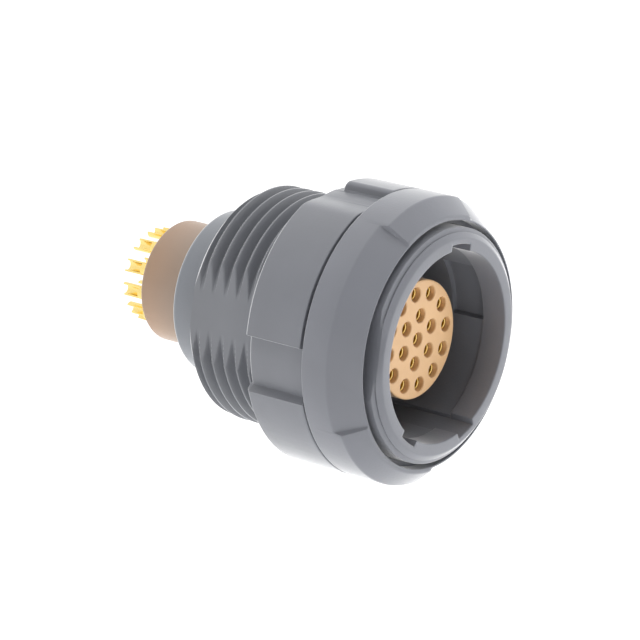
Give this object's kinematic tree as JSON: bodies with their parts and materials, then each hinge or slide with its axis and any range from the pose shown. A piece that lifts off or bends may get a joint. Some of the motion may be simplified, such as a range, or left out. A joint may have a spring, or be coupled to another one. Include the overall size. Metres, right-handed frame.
{
  "type": "circular push-pull panel receptacle",
  "caption": "Moulded circular panel receptacle with a keyed bore, recessed socket contacts, front ring nut and rear panel thread.",
  "frame": {"origin": "on the connector axis, in the plane of the hub's rear shoulder, at the front end of the rear thread", "axes": "+Y along the connector axis towards the solder cups, -Y out of the mating face, +Z towards the main keyway"},
  "size_m": [0.0192, 0.0249, 0.0194],
  "materials": {
    "shell_plastic": "grey moulded thermoplastic, fine satin",
    "ring_plastic": "grey moulded thermoplastic, fine satin",
    "collar_plastic": "grey moulded thermoplastic, fine satin",
    "insulator_polymer": "pale tan engineering polymer",
    "contact_gold": "gold-plated turned contact"
  },
  "bodies": {
    "root": {"shell_body": "shell_plastic", "front_ring": "ring_plastic", "rear_collar": "collar_plastic", "insulator": "insulator_polymer", "contact_01": "contact_gold", "contact_02": "contact_gold", "contact_03": "contact_gold", "contact_04": "contact_gold", "contact_05": "contact_gold", "contact_06": "contact_gold", "contact_07": "contact_gold", "contact_08": "contact_gold", "contact_09": "contact_gold", "contact_10": "contact_gold", "contact_11": "contact_gold", "contact_12": "contact_gold", "contact_13": "contact_gold", "contact_14": "contact_gold", "contact_15": "contact_gold", "contact_16": "contact_gold", "contact_17": "contact_gold", "contact_18": "contact_gold", "contact_19": "contact_gold"}
  },
  "joints": []
}
